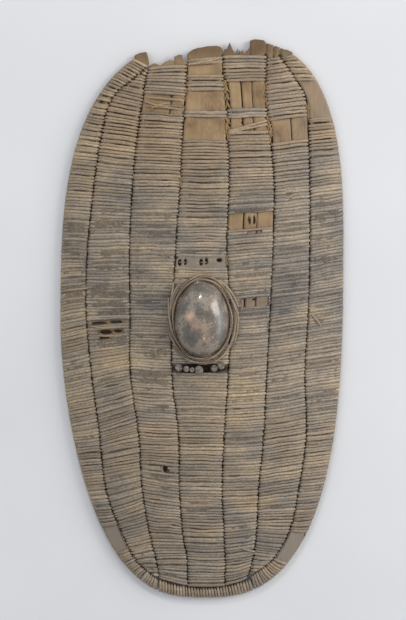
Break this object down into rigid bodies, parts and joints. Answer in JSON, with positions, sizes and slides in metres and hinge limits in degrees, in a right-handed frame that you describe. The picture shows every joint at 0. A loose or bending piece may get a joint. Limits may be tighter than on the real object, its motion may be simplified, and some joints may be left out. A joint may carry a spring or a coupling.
{
  "type": "cane-bound wooden shield",
  "caption": "Tall oval shield of upright wooden slats wound with split cane, with a carved oval boss and a bow handle behind, worn and broken at the top.",
  "frame": {"origin": "middle of the outline on the surface the shield lies on", "axes": "+X to the viewer's right, +Y to the top of the shield, +Z out of its front"},
  "size_m": [0.5655, 1.115, 0.1175],
  "materials": {
    "slat_wood": "dry weathered slat wood, matt",
    "cane": "aged split cane, dusty, worn paler on the crowns",
    "boss_wood": "dark handled wood with a soft polish",
    "stick_wood": "cut stick ends, matt"
  },
  "bodies": {
    "root": {"left_edge_slat": "slat_wood", "outer_left_slat": "slat_wood", "inner_left_slat_wide": "slat_wood", "inner_left_slat_narrow": "slat_wood", "centre_plank": "slat_wood", "inner_right_slat_left": "slat_wood", "inner_right_slat_middle": "slat_wood", "inner_right_slat_right": "slat_wood", "outer_right_slat_left": "slat_wood", "outer_right_slat_right": "slat_wood", "right_edge_slat": "slat_wood", "left_edge_binding": "cane", "outer_left_binding": "cane", "inner_left_binding": "cane", "centre_binding": "cane", "inner_right_binding": "cane", "outer_right_binding": "cane", "right_edge_binding": "cane", "bottom_rim_binding": "cane", "boss": "boss_wood", "boss_hoop_inner": "cane", "boss_hoop_outer": "cane", "peg_1": "stick_wood", "peg_2": "stick_wood", "peg_3": "stick_wood", "peg_4": "stick_wood", "peg_5": "stick_wood", "peg_6": "stick_wood", "grip": "boss_wood", "grip_stitch_left": "cane", "grip_stitch_right": "cane"}
  },
  "joints": []
}
